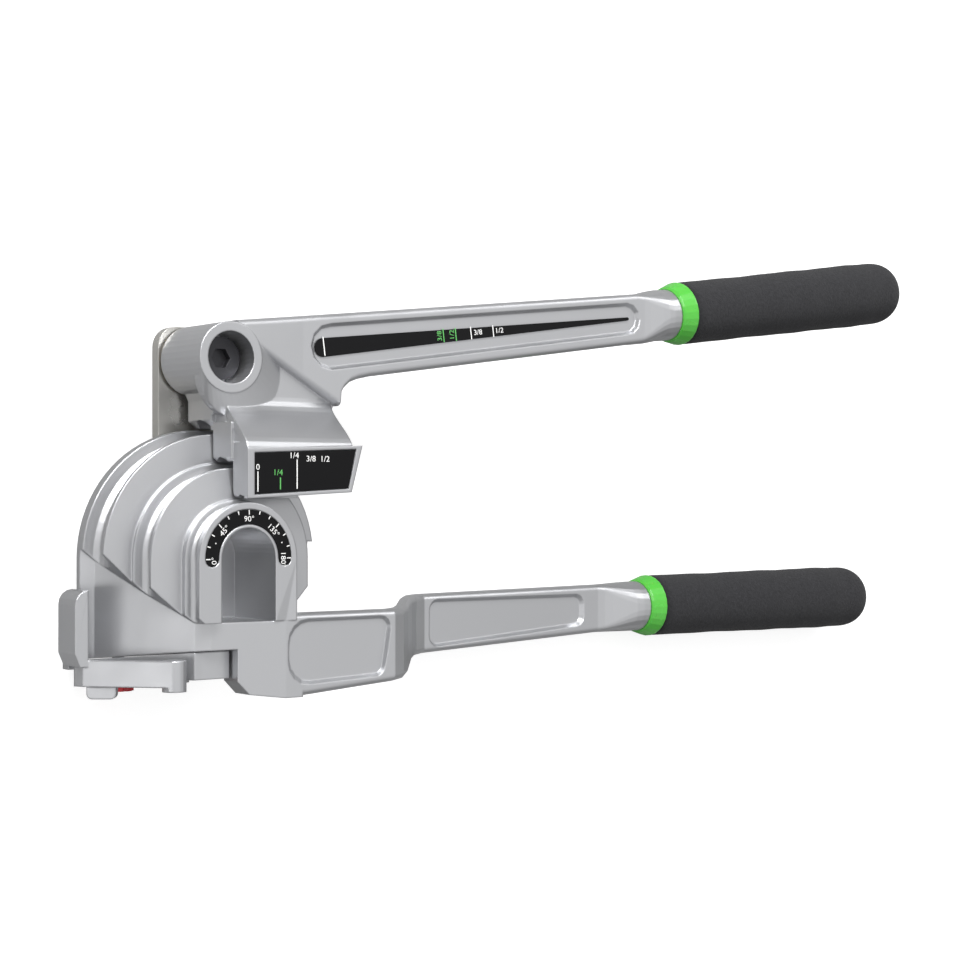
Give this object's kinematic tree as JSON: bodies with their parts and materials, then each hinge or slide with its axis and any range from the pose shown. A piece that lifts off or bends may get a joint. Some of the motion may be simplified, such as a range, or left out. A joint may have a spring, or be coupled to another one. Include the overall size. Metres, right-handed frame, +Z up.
{
  "type": "tube bender",
  "caption": "Hand lever tube bender with a stepped half-round die, a linked bending lever with grooved shoe, a tube hook and foam grips, lying on its back.",
  "frame": {"origin": "centre of the die pivot bolt's head, on its flat face that rests on the bench", "axes": "+X along the handles away from the die, +Y from the die's centre to the lever's pivot, +Z up out of the scale face"},
  "size_m": [0.4888, 0.2138, 0.0684],
  "materials": {
    "casting": "satin silver-painted die casting",
    "link_steel": "brushed plate steel",
    "plated_steel": "zinc plated",
    "black_steel": "blackened",
    "bronze": "plain bearing bronze",
    "foam": "closed-cell foam, matte",
    "green_collar": "gloss moulding",
    "red_knob": "gloss moulding",
    "label": "printed black film"
  },
  "bodies": {
    "die": {"die_casting": "casting", "degree_scale": "label", "die_pivot_bolt": "plated_steel", "die_thrust_washer": "bronze", "lower_collar": "green_collar", "lower_grip": "foam", "hook_guide_screw": "plated_steel", "guide_washer": "plated_steel"},
    "link": {"link_plate": "link_steel", "die_pivot_bush": "bronze", "lever_pivot_bolt": "black_steel", "lever_pivot_nut": "plated_steel", "lever_thrust_washer": "bronze"},
    "lever": {"lever_casting": "casting", "lever_pivot_bush": "bronze", "lever_bolt_washer": "plated_steel", "plate_scale": "label", "arm_scale": "label", "upper_collar": "green_collar", "upper_grip": "foam"},
    "hook": {"hook": "casting"},
    "lock_knob": {"hook_lock_knob": "red_knob", "hook_lock_screw": "plated_steel", "lock_washer": "plated_steel"}
  },
  "joints": [
    {"name": "link_swing", "type": "hinge", "parent": "die", "child": "link", "pos_m": [0, 0, 0.008], "axis": [0, 0, 1], "range_deg": [-50, 90]},
    {"name": "lever_open", "type": "hinge", "parent": "link", "child": "lever", "pos_m": [0, 0.085, 0.03], "axis": [0, 0, 1], "range_deg": [0, 70]},
    {"name": "hook_slide", "type": "slide", "parent": "die", "child": "hook", "axis": [-1, 0, 0], "range_m": [0, 0.008]},
    {"name": "lock_knob_turn", "type": "hinge", "parent": "die", "child": "lock_knob", "pos_m": [-0.0375, -0.055, 0.015], "axis": [0, 1, 0], "range_deg": [0, 120]}
  ]
}
